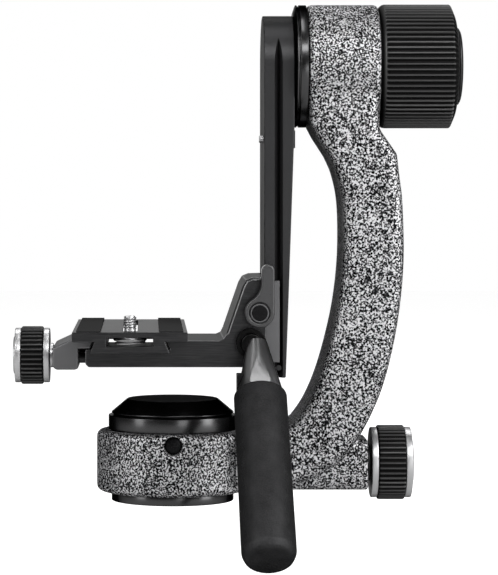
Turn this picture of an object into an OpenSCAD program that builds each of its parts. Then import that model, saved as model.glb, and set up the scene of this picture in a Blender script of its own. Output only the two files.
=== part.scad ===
// Side-mount gimbal tripod head: a panning base, a swept casting that carries a tilt axle,
// a swinging plate with a height-adjustable L-bracket, a dovetail clamp with a lens plate
// and a foam-gripped handle. Millimetres, +Z up, the pan axis is the Z axis and z = 0 is the
// face that seats on the tripod. +Y points away from the side that carries the handle.

/* [Base and pan] */
// Radius of the disc that seats on the tripod
base_r = 30; // [28:0.5:34]
// Thickness of the base disc
base_t = 4.4; // [4:0.2:6]
// Radius of the spindle that the head turns on
spindle_r = 12; // [10:0.5:13]
// Bore radius of the 3/8 inch tripod thread
tripod_r = 3.97; // [3.97:0.01:4.2]
// Depth of the tripod thread
tripod_depth = 12; // [10:1:16]
// Radius of the round pan housing
housing_r = 37.2; // [36:0.2:39]
// Height of the housing's top above the tripod face
housing_top = 34.7; // [34:0.1:37]
// Rounding of the housing's edges
housing_round = 3; // [1:0.5:4]
// Outer radius of the pan bearings
pan_bearing_r = 21; // [18:0.5:22]
// Thickness of each pan bearing
pan_bearing_t = 7; // [6:0.5:7]
// Radius of the black ring on the housing
ring_r = 31.5; // [30:0.5:34]
// Height of the black ring
ring_t = 7.2; // [6:0.2:9]
// Radius of the cap's foot
cap_r = 30; // [28:0.5:31]
// Radius of the cap's flat top
cap_top_r = 22; // [18:0.5:23]
// Height of the cap
cap_t = 7.9; // [6:0.1:10]
// Radius of the screw plug in the housing's front
plug_r = 4.4; // [3.5:0.1:5]
// Height of the plug's centre
plug_z = 29.5; // [28:0.1:30]

/* [Pan lock] */
// Height of the pan lock's axis
pan_lock_z = 18.3; // [18:0.1:19]
// Distance from the pan axis to the end of the lock's block
lock_block_x = 95; // [92:0.5:98]
// Half width of the lock's block
lock_block_w = 17; // [14:0.5:20]
// Height of the lock block's underside
lock_block_low = 6; // [5.5:0.1:8]
// Rounding along the lock block
lock_block_round = 5; // [2:0.5:8]
// Radius of the lock's screw
lock_screw_r = 4.5; // [4:0.1:5]
// Radius of the rubber ring on the pan lock knob
pan_knob_r = 18.2; // [16:0.2:20]
// Width of the rubber ring on the pan lock knob
pan_knob_w = 13.4; // [10:0.2:16]
// Width of the metal ring on each side of the rubber
pan_knob_ring = 3.2; // [2:0.1:4]
// Number of ribs on the pan lock knob
pan_knob_ribs = 44; // [30:1:60]

/* [Arm] */
// How far the arm's widest point stands out beyond the boss
arm_bulge = 11.1; // [9:0.1:12]
// Height of the arm's underside at the foot
arm_low = 6.5; // [5.5:0.1:7.5]
// How far the arm's outer shoulder stands out beyond the boss
shoulder_out = 7.8; // [7:0.1:8.5]
// How far the arm's outer shoulder lies below the tilt knob
shoulder_drop = 12.9; // [11:0.1:15]
// Half of the arm's width, front to back
arm_half_w = 27; // [24:0.5:29]
// Rounding along the arm's edges
arm_round = 5; // [3:0.5:8]
// Height of the tilt axis above the tripod face
tilt_z = 212.8; // [208:0.2:220]
// Radius of the boss that holds the tilt axle
boss_r = 30.2; // [29:0.2:32]
// Where the boss starts, from the pan axis
boss_x = 65.6; // [65:0.2:67]
// Length of the boss
boss_len = 34.9; // [32:0.1:37]

/* [Tilt] */
// Radius of the tilt axle
axle_r = 10; // [8:0.5:11]
// Outer radius of the tilt bearings
tilt_bearing_r = 19; // [16:0.5:21]
// Thickness of each tilt bearing
tilt_bearing_t = 8; // [6:0.5:10]
// Radius of the black hub beside the boss
hub_r = 30.1; // [28:0.1:32]
// Radius of the tilt knob's rubber
tilt_knob_r = 30.4; // [28:0.2:34]
// Width of the tilt knob's rubber
tilt_knob_w = 38.6; // [32:0.2:42]
// Number of ribs on the tilt knob
tilt_knob_ribs = 72; // [50:1:80]
// Radius of the tilt knob's end cap
tilt_cap_r = 18.9; // [15:0.1:22]

/* [Swing plate] */
// Distance from the pan axis to the plate's left face
plate_x = 44; // [43.5:0.1:44.5]
// Thickness of the plate at its upper end
plate_t = 14.7; // [14.2:0.1:15]
// Thickness of the plate at its lower end
plate_low_t = 10.4; // [10:0.1:12]
// Half width of the plate, front to back
plate_half_w = 24.75; // [23:0.25:26]
// Height of the plate's lower end above the tripod face
plate_low_z = 61.5; // [56:0.5:62]
// Distance from the left face to the near edge of the dovetail groove
groove_x = 5; // [4:0.1:6]
// Width of the dovetail groove's mouth
groove_w = 4; // [3.5:0.1:5]
// Depth of the dovetail groove
groove_d = 3.7; // [3:0.1:4.5]
// Height of the spring-loaded stop pin
stop_z = 176.8; // [172:0.2:180]
// Radius of the stop pin
stop_r = 1.7; // [1.2:0.1:2.2]

/* [L-bracket] */
// Left end of the bar, from the pan axis
bar_x = -42.2; // [-44:0.1:-41.5]
// Height of the bar's underside
bar_z = 66.9; // [66:0.1:68]
// Thickness of the bar below the lens plate
bar_t = 8.6; // [8:0.1:9]
// Height of the bar's fixed jaw above the bar's floor
jaw_h = 4.3; // [3.8:0.1:4.6]
// Thickness of the bracket's jaws beside the swing plate
jaw_t = 4.95; // [4.4:0.05:7]
// Height of the bracket's upper end
bracket_top_z = 110.4; // [106:0.2:116]
// Width of the light strip on each clamping jaw
strip_w = 6.6; // [6.5:0.1:7.2]
// Height of the jaw strips' lower end above the bar's underside
strip_lift = 2.4; // [1:0.1:4]

/* [Lever] */
// Height of the lever's pivot
lever_z = 93.4; // [90:0.2:96]
// Radius of the lever's hub
lever_hub_r = 7.1; // [6:0.1:8]
// Distance from the pivot to the lever's tip
lever_len = 23.1; // [20:0.1:28]
// Width of the lever's blade
lever_w = 6.2; // [5:0.1:7]
// Thickness of the lever
lever_t = 7.4; // [6:0.2:9]
// Radius of the lever's stud
lever_stud_r = 1.8; // [1.5:0.1:1.9]

/* [Lens plate] */
// Distance from the pan axis to the middle of the lens plate
lens_x = -20.7; // [-21.5:0.1:-20]
// Width of the lens plate
lens_w = 54.5; // [50:0.5:56]
// Length of the lens plate
lens_len = 120; // [90:1:140]
// Thickness of the lens plate's slab
slab_t = 4.6; // [4:0.1:6]
// Height of the lens plate's dovetail
dove_h = 5.3; // [5:0.1:5.8]
// Width across the dovetail's foot
dove_w = 37.7; // [37:0.1:38.2]
// Width of the channel under the slab
channel_w = 22.2; // [18:0.2:24]
// Width of each rubber pad
pad_w = 11.5; // [9:0.5:13]
// Thickness of the rubber pads above the slab
pad_t = 0.9; // [0.6:0.1:1.5]
// Radius of the 1/4 inch camera screw
cam_screw_r = 3.175; // [3.1:0.005:3.2]
// How far the camera screw stands above the pads
cam_screw_up = 5.8; // [4:0.1:7]
// How far the camera screw stands from the plate's front end
cam_screw_in = 22; // [20:0.5:30]

/* [Plate clamp] */
// Width of the moving jaw at its foot
clamp_jaw_w = 12.5; // [11:0.1:14]
// Gap between the moving jaw and the bar
clamp_gap = 3.4; // [2:0.1:4.5]
// Height of the clamp screw's axis
clamp_z = 70.9; // [70.5:0.1:71.3]
// Radius of the clamp screw
clamp_screw_r = 3; // [2.5:0.1:3.2]
// Radius of the jaw's guide rods
guide_r = 2.5; // [2:0.1:2.8]
// Distance of each guide rod from the clamp screw
guide_y = 20; // [15:0.5:23]
// Radius of the clamp knob's rubber
clamp_knob_r = 14.2; // [12:0.2:16]
// Width of the clamp knob's rubber
clamp_knob_w = 11; // [8:0.2:14]
// Width of the metal ring on each side of the rubber
clamp_knob_ring = 3; // [2:0.1:4]
// Number of ribs on the clamp knob
clamp_knob_ribs = 36; // [24:1:48]

/* [Handle] */
// Distance from the pan axis to the rosette's centre
rosette_x = 37.3; // [36:0.1:39]
// Height of the rosette's centre
rosette_z = 78.6; // [77:0.1:80]
// Radius of the rosette
rosette_r = 7.2; // [6:0.1:8]
// Thickness of the rosette
rosette_t = 4.6; // [3:0.1:6]
// Slope of the handle towards the front, from straight down
handle_tilt = 42.6; // [38:0.2:48]
// Length of the neck between the rosette and the grip
neck_len = 31; // [26:0.5:40]
// Radius of the foam grip
grip_r = 12.5; // [11:0.25:14]
// Length of the foam grip
grip_len = 93.5; // [70:0.5:120]
// Radius of the collar that the grip starts from
collar_r = 10.7; // [10:0.1:11]

/* [Clearances] */
// Radial clearance of a turning or sliding fit
fit = 0.06; // [0.03:0.01:0.1]
// Gap between pieces that move past each other
gap = 0.3; // [0.2:0.05:0.4]

/* [Hidden] */
$fn = 64;

// Pan stack, from the tripod face up
housing_z = base_t + gap;
lower_bearing_z = base_t;
bearing_apart = 20.6;
upper_bearing_z = lower_bearing_z + bearing_apart;
upper_bearing_t = 6;
nut_z = upper_bearing_z + upper_bearing_t;
nut_t = 5;
spindle_end = 1.5;
spindle_top = nut_z + nut_t + spindle_end;
ring_z = housing_top;
cap_z = ring_z + ring_t;
cavity_r = pan_bearing_r + 2;
cap_hollow = 3;
plug_in = 6;
plug_out = 0.2;
plug_flat = 2;
plug_key = 2;

// Pan lock, along X
lock_tunnel_r = lock_screw_r + 0.6;
bush_r = lock_screw_r + 2.5;
bush_len = 15;
bush_collar_r = bush_r + 2.3;
bush_collar_t = 1.7;
pan_knob_x = lock_block_x + bush_collar_t + gap;
shoe_len = 8;

// Arm: stations as [x, z] of its inner line and [x, z] of its outer line
boss_end = boss_x + boss_len;
arm_out = boss_end + arm_bulge;
arm_rise = tilt_z - arm_low;
foot_top = housing_top - 0.5;
shoulder_z = tilt_z - tilt_knob_r - shoulder_drop;
neck_top = 1.6;
neck_in = 3.9;
boss_sink = 0.6;
function station(ix, iz, ox, oz) = [ix * arm_out, arm_low + iz * arm_rise,
    ox * arm_out, arm_low + oz * arm_rise];
ARM = [
    [arm_out * 0.0896, foot_top, arm_out * 0.0896, arm_low],
    [arm_out * 0.269, foot_top, arm_out * 0.269, arm_low],
    station(0.430, 0.137, 0.448, 0.005),
    station(0.506, 0.152, 0.591, 0.027),
    station(0.551, 0.178, 0.708, 0.066),
    station(0.591, 0.213, 0.793, 0.116),
    station(0.634, 0.267, 0.867, 0.189),
    station(0.675, 0.340, 0.923, 0.271),
    station(0.715, 0.438, 0.973, 0.395),
    station(0.737, 0.550, 0.999, 0.531),
    station(0.735, 0.671, 0.995, 0.671),
    station(0.710, 0.742, 0.980, 0.744),
    [arm_out * 0.677, arm_low + arm_rise * 0.785, boss_end + shoulder_out, shoulder_z]];
// Straight from the shoulder into the boss
ARM_TOP = [
    [boss_x + neck_in, tilt_z - boss_r - 3 * neck_top, boss_end, tilt_z - tilt_knob_r - neck_top],
    [boss_x + boss_sink, tilt_z - boss_r + neck_top, boss_end - boss_sink, tilt_z - tilt_knob_r - boss_sink],
    [boss_x + boss_sink, tilt_z, boss_end - boss_sink, tilt_z]];
arm_steps = 4;
corner_steps = 5;
block_start = arm_out * 0.48;

// Tilt stack, along X
hub_x = plate_x + plate_t;
hub_t = boss_x - gap - hub_x;
tilt_knob_x = boss_end + gap;
tilt_core_r = tilt_knob_r - 4;
stub_r = axle_r - 4;
stub_len = tilt_knob_w * 0.6;
tilt_knob_chamfer = 3.2;

// Swing plate
groove_mid = plate_x + groove_x + groove_w / 2;
taper_z = tilt_z - boss_r + 2.2;
axle_in = 2;
stop_in = 12;
stop_y = stop_in - plate_half_w;
stop_out = 2;
stop_bore = 8;
stop_spring = 3;
tab_h = 8.6;
tab_w = 8;
tab_sink = 1.2;
tab_out = 0.65;
low_screw_r = 1.3;
low_screw_len = 12;
low_screw_drop = 3;

// Bracket: it slides on the swing plate, a gap away from it
floor_z = bar_z + bar_t;
bar_top = floor_z + jaw_h;
bracket_half_w = plate_half_w + gap + jaw_t;
fork_x = plate_x - 0.2;
strip_x = fork_x + 0.7;
tooth_x = plate_x + groove_x + gap;
tooth_short = 0.6;
jaw_in = plate_half_w + gap;
lobe_w = 18.3;
lobe_x = fork_x - lobe_w;
lobe_round = [[5.6, 0.2], [8.7, 1.4], [10.5, 4.4]];
lobe_foot = [[0, 3.5], [1.2, 1], [3.5, 0]];
stud_len = 12;
stud_spare = 1;
lever_x = fork_x - lever_stud_r - 0.7;
lever_y = -bracket_half_w - gap;
lever_recess = 1.4;
lever_recess_y = lever_y - lever_t + lever_recess;
lever_dish_r = lever_hub_r - 2.2;
lever_ring_r = lever_dish_r - 0.5;
lever_button_r = lever_ring_r - 0.6;
lever_ring_t = 1.5;
lever_button_t = 2.2;
blade_x = lever_hub_r - lever_w;
tip_r = lever_w / 2;
blade_run = 8.6;
neck_h = lever_len - blade_run;
neck_r = (blade_x * blade_x + neck_h * neck_h - lever_hub_r * lever_hub_r) / (2 * (lever_hub_r + blade_x));
strip_low = bar_z + strip_lift;
strip_high = bracket_top_z - 2;

// Lens plate
dove_slope = 0.47;
dove_top_w = dove_w - 2 * dove_slope * dove_h;
slab_z = floor_z + dove_h;
slab_top = slab_z + slab_t;
pad_top = slab_top + pad_t;
channel_top = slab_z + 1.9;
bridge_t = 6;
window_z = slab_z - 1.2;
slot_r = cam_screw_r + 0.4;
cam_screw_y = cam_screw_in - lens_len / 2;
slot_end = 13;
slot_half = lens_len / 2 - slot_end;
head_r = 8;
relief_r = cam_screw_r - 0.4;
washer_r = 6.5;
pad_in = 2;
head_t = 1.8;
washer_t = 0.6;
washer_z = channel_top - washer_t - 0.1;
head_z = washer_z - head_t - 0.1;

// Plate clamp
jaw_x = bar_x - clamp_gap;
jaw_left = jaw_x - clamp_jaw_w;
lip_z = floor_z + gap;
lip_top = slab_z - 0.5;
clamp_spacer = 2.2;
clamp_spacer_r = clamp_screw_r + 3;
clamp_knob_x = jaw_left - clamp_spacer;
clamp_core_r = clamp_knob_r - 2.4;
screw_reach = 26;
screw_end = bar_x + screw_reach;
guide_reach = 20;
guide_end = bar_x + guide_reach;
guide_in = 3;
jaw_slope_w = 9.2;
jaw_low = bar_z - 1.2;
knob_dome = 0.8;

// Handle
rosette_y = -bracket_half_w - rosette_t;
neck_y = rosette_y - 0.2;
lug_r = rosette_r * 0.72;
lug_t = 5;
lug_flange = 1.6;
handle_lean = 1.2;
grip_offset = 3.3;
grip_x = rosette_x + grip_offset;
handle_drop = [0, -neck_len * sin(handle_tilt), -neck_len * cos(handle_tilt)];
grip_at = [grip_x, neck_y - 2.5, rosette_z] + handle_drop;
neck_r1 = lug_r - 0.3;
neck_room = neck_y - (lever_y - lever_t) + gap;
neck_room_r = 3 * rosette_r;
collar_t = 2;
facet_y = collar_r - 1.04;
facet_tilt = 6.6;
block_w = 15.2;
block_h = 11.5;
block_d = 12;
block_drop = 13.1;
block_back = 11.2;
tube_r = 8;
grip_round = 5;
tube_short = 6;
cap_crown = 6;
handle_stud_r = 2.5;

// A point at distance t between p1 and p2 on a smooth curve through four points
function along(p0, p1, p2, p3, t) = 0.5 * (2 * p1 + (p2 - p0) * t
    + (2 * p0 - 5 * p1 + 4 * p2 - p3) * t * t + (3 * p1 - p0 - 3 * p2 + p3) * t * t * t);

// The arm's stations with arm_steps rings between each pair, straight above the shoulder
function arm_line() = let (n = len(ARM), ends = concat(ARM, [2 * ARM[n - 1] - ARM[n - 2]])) concat(
    [for (i = [1:n - 2], k = [0:arm_steps - 1])
        along(ends[i - 1], ends[i], ends[i + 1], ends[i + 2], k / arm_steps)],
    [ARM[n - 1]], ARM_TOP);

// A rectangle with round corners, as [u, v] points
function round_box(hu, hv, r) = [for (q = [0:3], k = [0:corner_steps])
    let (a = 90 * (q + k / corner_steps), su = (q == 0 || q == 3) ? 1 : -1, sv = q < 2 ? 1 : -1)
    [su * (hu - r) + r * cos(a), sv * (hv - r) + r * sin(a)]];

// A closed outline of ribs: r is the tips' radius, d the grooves' depth
function ribs(n, r, d) = [for (i = [0:n - 1], k = [0:3])
    let (a = 360 / n * (i + [0, 0.16, 0.60, 0.76][k]), q = (k == 1 || k == 2) ? r : r - d)
    [q * cos(a), q * sin(a)]];

// Turns what is drawn along +Z to lie along +X, from x
module from_x(x, z = 0) {
    translate([x, 0, z]) rotate([0, 90, 0]) children();
}

// Turns what is drawn along +Z to lie along -Y, from y towards the front
module from_front(x, y, z) {
    translate([x, y, z]) rotate([90, 0, 0]) children();
}

// A flat ring
module ring(outer, inner, h) {
    difference() {
        cylinder(r = outer, h = h);
        translate([0, 0, -1]) cylinder(r = inner, h = h + 2);
    }
}

// A disc whose upper and lower edges are rounded
module round_disc(r, h, edge) {
    rotate_extrude() {
        square([r - edge, h]);
        translate([0, edge]) square([r, h - 2 * edge]);
        for (z = [edge, h - edge]) translate([r - edge, z]) circle(r = edge);
    }
}

// Draws an outline of X and Z from front to back, centred on Y = 0
module profile(half_w) {
    translate([0, half_w, 0]) rotate([90, 0, 0]) linear_extrude(2 * half_w) children();
}

module base_disc() color([0.16, 0.16, 0.17]) difference() {
    union() {
        rotate_extrude() polygon([[0, 0], [base_r - 0.6, 0], [base_r, 0.6],
            [base_r, base_t], [0, base_t]]);
        cylinder(r = spindle_r, h = spindle_top);
    }
    translate([0, 0, -1]) cylinder(r = tripod_r, h = tripod_depth + 1);
}

module lower_pan_bearing() color("silver")
    translate([0, 0, lower_bearing_z]) ring(pan_bearing_r, spindle_r, pan_bearing_t);

module upper_pan_bearing() color("silver")
    translate([0, 0, upper_bearing_z]) ring(pan_bearing_r - 1, spindle_r, nut_z - upper_bearing_z);

module pan_nut() color([0.6, 0.6, 0.62]) translate([0, 0, nut_z]) difference() {
    cylinder(r = pan_bearing_r - 1, h = nut_t, $fn = 6);
    translate([0, 0, -1]) cylinder(r = spindle_r, h = nut_t + 2);
}

// The swept arm: rings of a rounded rectangle between its inner and its outer line
module arm_sweep() {
    line = arm_line();
    n = len(line);
    m = 4 * (corner_steps + 1);
    rings = [for (p = line)
        let (dx = p[0] - p[2], dz = p[1] - p[3], thick = norm([dx, dz]))
        for (q = round_box(thick / 2, arm_half_w, arm_round)) [(p[0] + p[2]) / 2 + q[0] * dx / thick,
            q[1], (p[1] + p[3]) / 2 + q[0] * dz / thick]];
    sides = [for (i = [0:n - 2], j = [0:m - 1]) let (k = (j + 1) % m)
        each [[i * m + j, i * m + k, (i + 1) * m + k], [i * m + j, (i + 1) * m + k, (i + 1) * m + j]]];
    polyhedron(rings, concat([[for (j = [m - 1:-1:0]) j]], sides,
        [[for (j = [0:m - 1]) (n - 1) * m + j]]));
}

// The block that carries the pan lock, round along its four long edges
module lock_block() {
    run = lock_block_x - block_start;
    half_h = pan_lock_z - lock_block_low;
    inner_w = lock_block_w - lock_block_round;
    inner_h = half_h - lock_block_round;
    translate([block_start, 0, pan_lock_z]) {
        translate([0, -lock_block_w, -inner_h]) cube([run, 2 * lock_block_w, 2 * inner_h]);
        translate([0, -inner_w, -half_h]) cube([run, 2 * inner_w, 2 * half_h]);
        for (y = [-inner_w, inner_w], z = [-inner_h, inner_h])
            translate([0, y, z]) rotate([0, 90, 0]) cylinder(r = lock_block_round, h = run);
    }
}

module arm_casting() color([0.48, 0.48, 0.49]) difference() {
    union() {
        translate([0, 0, housing_z]) round_disc(housing_r, housing_top - housing_z, housing_round);
        arm_sweep();
        lock_block();
        from_x(boss_x, tilt_z) round_disc(boss_r, boss_len, 2);
    }
    translate([0, 0, -1]) cylinder(r = spindle_r + gap, h = housing_top + 2);
    translate([0, 0, -1]) cylinder(r = pan_bearing_r + fit, h = lower_bearing_z + pan_bearing_t + 1);
    translate([0, 0, upper_bearing_z]) cylinder(r = pan_bearing_r + fit, h = housing_top);
    from_x(0, pan_lock_z) cylinder(r = lock_tunnel_r, h = lock_block_x + 1);
    from_x(lock_block_x - bush_len, pan_lock_z) cylinder(r = bush_r, h = bush_len + 1);
    from_front(0, plug_flat + plug_in - housing_r, plug_z) cylinder(r = plug_r, h = 2 * plug_in);
    from_x(boss_x - 1, tilt_z) cylinder(r = axle_r + 1, h = boss_len + 2);
    from_x(boss_x - 1, tilt_z) cylinder(r = tilt_bearing_r, h = tilt_bearing_t + 1);
    from_x(boss_end - tilt_bearing_t, tilt_z) cylinder(r = tilt_bearing_r, h = tilt_bearing_t + 1);
}

module pan_ring() color([0.1, 0.1, 0.1]) translate([0, 0, ring_z]) ring(ring_r, cavity_r, ring_t);

module pan_cap() color([0.12, 0.12, 0.12]) translate([0, 0, cap_z]) difference() {
    rotate_extrude() polygon([[0, 0], [cap_r - 0.8, 0], [cap_r - 0.8, 1], [cap_r, 1.2],
        [cap_r, 1.6], [cap_top_r + 2.4, cap_t - 0.9], [cap_top_r, cap_t], [0, cap_t]]);
    translate([0, 0, -1]) cylinder(r = cavity_r, h = cap_hollow + 1);
}

module housing_plug() color([0.1, 0.1, 0.1]) from_front(0, plug_flat + plug_in - housing_r, plug_z)
    difference() {
        cylinder(r = plug_r, h = plug_in + plug_flat + plug_out);
        translate([0, 0, plug_in + plug_flat + plug_out - plug_key])
            cylinder(r = plug_r * 0.45, h = plug_key + 1, $fn = 6);
    }

module lock_bush() color([0.1, 0.1, 0.1]) difference() {
    union() {
        from_x(lock_block_x - bush_len, pan_lock_z) cylinder(r = bush_r, h = bush_len);
        from_x(lock_block_x, pan_lock_z) cylinder(r = bush_collar_r, h = bush_collar_t);
    }
    from_x(lock_block_x - bush_len - 1, pan_lock_z)
        cylinder(r = lock_screw_r + fit, h = bush_len + bush_collar_t + 2);
}

module brake_shoe() color([0.75, 0.6, 0.3]) difference() {
    from_x(spindle_r, pan_lock_z) cylinder(r = lock_tunnel_r, h = shoe_len);
    cylinder(r = spindle_r + gap, h = housing_top);
}

module left_tilt_bearing() color("silver")
    from_x(boss_x, tilt_z) ring(tilt_bearing_r, axle_r + fit, tilt_bearing_t);

module right_tilt_bearing() color("silver")
    from_x(boss_end - tilt_bearing_t, tilt_z) ring(tilt_bearing_r, axle_r + fit, tilt_bearing_t);

// A rubber ring with ribs; c is the chamfer at its edges
module rubber_ring(n, r, d, inner, w, c) difference() {
    intersection() {
        linear_extrude(w) polygon(ribs(n, r, d));
        rotate_extrude() polygon([[0, 0], [r - c, 0], [r + 0.1, c], [r + 0.1, w - c], [r - c, w], [0, w]]);
    }
    translate([0, 0, -1]) cylinder(r = inner, h = w + 2);
}

// A metal knob body: a flange on each side of the rubber and a core under it
module knob_core(r, core, w, flange, dome) {
    cylinder(r = core, h = flange + w + 1);
    round_disc(r, flange, 0.8);
    translate([0, 0, flange + w]) round_disc(r, flange, 0.8);
    translate([0, 0, 2 * flange + w - 0.4]) cylinder(r1 = r - 2, r2 = r - 5, h = dome + 0.4);
}

module pan_knob_core() color("silver") {
    from_x(pan_knob_x, pan_lock_z)
        knob_core(pan_knob_r - 1, pan_knob_r - 3, pan_knob_w, pan_knob_ring, knob_dome);
    from_x(spindle_r + shoe_len + gap, pan_lock_z)
        cylinder(r = lock_screw_r, h = pan_knob_x - spindle_r - shoe_len);
}

module pan_knob_grip() color([0.07, 0.07, 0.07]) from_x(pan_knob_x + pan_knob_ring, pan_lock_z)
    rubber_ring(pan_knob_ribs, pan_knob_r, 0.7, pan_knob_r - 3, pan_knob_w, 0.5);

module tilt_knob_core() color([0.2, 0.2, 0.2]) from_x(tilt_knob_x, tilt_z) difference() {
    cylinder(r = tilt_core_r, h = tilt_knob_w - tilt_knob_chamfer);
    translate([0, 0, -1]) cylinder(r = stub_r + fit, h = stub_len + 2);
}

module tilt_knob_grip() color([0.07, 0.07, 0.07]) from_x(tilt_knob_x, tilt_z) difference() {
    intersection() {
        linear_extrude(tilt_knob_w) polygon(ribs(tilt_knob_ribs, tilt_knob_r, 0.8));
        rotate_extrude() polygon([[0, 0], [tilt_knob_r - 1.2, 0], [tilt_knob_r + 0.1, 2],
            [tilt_knob_r + 0.1, tilt_knob_w - tilt_knob_chamfer],
            [tilt_knob_r - 5.5, tilt_knob_w - 1.3], [tilt_cap_r, tilt_knob_w], [0, tilt_knob_w]]);
    }
    translate([0, 0, -1]) cylinder(r = tilt_core_r, h = tilt_knob_w - tilt_knob_chamfer + 1);
}

module tilt_knob_cap() color([0.15, 0.15, 0.15]) from_x(tilt_knob_x + tilt_knob_w, tilt_z)
    rotate_extrude() polygon([[0, 0], [tilt_cap_r, 0], [tilt_cap_r, 0.8], [tilt_cap_r - 1.5, 1.6],
        [tilt_cap_r - cap_crown, 2.1], [0, 2.3]]);

module tilt_axle() color("silver") {
    from_x(plate_x + axle_in, tilt_z) cylinder(r = axle_r, h = boss_end - plate_x - axle_in);
    from_x(boss_end - 1, tilt_z) cylinder(r = stub_r, h = stub_len + 1 + gap);
}

module tilt_hub() color([0.09, 0.09, 0.09]) from_x(hub_x, tilt_z) difference() {
    rotate_extrude() polygon([[0, 0], [hub_r - 4, 0], [hub_r - 1, 1], [hub_r, 1.4], [hub_r, 2],
        [hub_r - 0.6, 2.3], [hub_r, 2.6], [hub_r, hub_t - 0.4], [hub_r - 0.4, hub_t], [0, hub_t]]);
    translate([0, 0, -1]) cylinder(r = axle_r, h = hub_t + 2);
}

// The plate's section with a V groove in its front and rear face
module plate_section() {
    g = groove_x;
    w = groove_w;
    h = plate_half_w;
    translate([plate_x, 0]) polygon([[0, -h], [g, -h], [g + w / 2, groove_d - h], [g + w, -h],
        [plate_t, -h], [plate_t, h], [g + w, h], [g + w / 2, h - groove_d], [g, h], [0, h]]);
}

module swing_plate() color([0.14, 0.14, 0.15]) difference() {
    intersection() {
        translate([0, 0, plate_low_z]) linear_extrude(tilt_z + plate_half_w - plate_low_z + 1)
            plate_section();
        union() {
            from_x(plate_x - 1, tilt_z) cylinder(r = plate_half_w, h = plate_t + 2);
            translate([plate_x - 1, -plate_half_w, plate_low_z])
                cube([plate_t + 2, 2 * plate_half_w, tilt_z - plate_low_z]);
        }
    }
    profile(plate_half_w + 1) polygon([[plate_x + plate_t, taper_z],
        [plate_x + 2 * plate_t, taper_z], [plate_x + 2 * plate_t, plate_low_z - 1],
        [plate_x + plate_low_t, plate_low_z - 1]]);
    from_x(plate_x + axle_in, tilt_z) cylinder(r = axle_r, h = plate_t);
    from_x(plate_x - 1, stop_z) translate([0, stop_y, 0]) cylinder(r = stop_r + fit, h = stop_bore + 1);
    from_front(groove_mid, 0, strip_low - low_screw_drop) cylinder(r = low_screw_r, h = plate_half_w);
    tab_body();
}

module tab_body() translate([plate_x + plate_t - tab_sink, stop_y - tab_w / 2, stop_z - tab_h / 2])
    cube([tab_sink + tab_out, tab_w, tab_h]);

module stop_tab() color([0.05, 0.05, 0.05]) tab_body();

module lower_stop_screw() color([0.3, 0.3, 0.3])
    from_front(groove_mid, low_screw_len - plate_half_w, strip_low - low_screw_drop)
        cylinder(r = low_screw_r, h = low_screw_len);

module stop_pin() color("silver") from_x(plate_x - stop_out, stop_z)
    translate([0, stop_y, 0]) cylinder(r = stop_r, h = stop_out + stop_bore - stop_spring);

// The bracket's outline: bar, fixed jaw and the lobe beside the swing plate
bracket_outline = [
    [bar_x, bar_z + 1.5], [bar_x + 1.5, bar_z], [strip_x, bar_z],
    [strip_x, bracket_top_z], for (q = lobe_round) [fork_x - q[0], bracket_top_z - q[1]],
    for (q = lobe_foot) [lobe_x - q[0], bar_top + q[1]],
    [lens_x + dove_w / 2 + gap - dove_slope * jaw_h, bar_top],
    [lens_x + dove_w / 2 + gap, floor_z], [bar_x, floor_z]];

module l_bracket() color([0.13, 0.13, 0.14]) difference() {
    profile(bracket_half_w) polygon(bracket_outline);
    translate([fork_x, -jaw_in, bar_z - 1]) cube([plate_t, 2 * jaw_in, bracket_top_z]);
    from_x(bar_x - 1, clamp_z) cylinder(r = clamp_screw_r + fit, h = screw_reach + stud_spare + 1);
    for (y = [-guide_y, guide_y]) translate([0, y, 0])
        from_x(bar_x - 1, clamp_z) cylinder(r = guide_r + fit, h = guide_reach + stud_spare + 1);
    from_front(lever_x, bracket_half_w + 1, lever_z) cylinder(r = lever_stud_r, h = 2 * bracket_half_w + 2);
    from_front(rosette_x, stud_len - bracket_half_w, rosette_z)
        cylinder(r = handle_stud_r, h = stud_len + 1);
}

// A strip with a tooth that reaches into the plate's groove; side is -1 in front, 1 behind
module jaw_strip(side) {
    low = side * bracket_half_w;
    mouth = side * plate_half_w;
    tip = side * (plate_half_w - groove_d + tooth_short);
    translate([0, 0, strip_low]) linear_extrude(strip_high - strip_low) polygon([[strip_x, low],
        [strip_x + strip_w, low], [strip_x + strip_w, tip], [groove_mid, tip], [tooth_x, mouth],
        [tooth_x, side * jaw_in], [strip_x, side * jaw_in]]);
}

module front_jaw_strip() color([0.62, 0.62, 0.63]) jaw_strip(-1);
module rear_jaw_strip() color([0.62, 0.62, 0.63]) jaw_strip(1);

module lever_stud() color("silver")
    from_front(lever_x, bracket_half_w - 2, lever_z)
        cylinder(r = lever_stud_r, h = bracket_half_w - 2 - lever_recess_y - gap);

module rosette() color([0.1, 0.1, 0.1]) {
    from_front(rosette_x, -bracket_half_w, rosette_z) cylinder(r = rosette_r, h = rosette_t);
    from_front(rosette_x, stud_len - bracket_half_w, rosette_z)
        cylinder(r = handle_stud_r, h = stud_len + rosette_t + lug_t / 2);
}

// The lever: a round hub, a straight blade at its right and a hollow neck at its left
module lever() color([0.1, 0.1, 0.1]) difference() {
    from_front(lever_x, lever_y, lever_z) {
        cylinder(r = lever_hub_r, h = lever_t);
        translate([blade_x, 0, 0]) cube([lever_w, lever_len - tip_r, lever_t]);
        translate([blade_x + tip_r, lever_len - tip_r, 0]) cylinder(r = tip_r, h = lever_t);
        difference() {
            linear_extrude(lever_t) polygon([[0, 0], [blade_x + 0.2, 0], [blade_x + 0.2, neck_h],
                [blade_x - neck_r, neck_h]]);
            translate([blade_x - neck_r, neck_h, -1]) cylinder(r = neck_r, h = lever_t + 2);
        }
    }
    from_front(lever_x, 0, lever_z) cylinder(r = lever_stud_r + fit, h = 1 - lever_recess_y);
    from_front(lever_x, lever_recess_y, lever_z) cylinder(r = lever_dish_r, h = lever_recess + 1);
}

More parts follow.
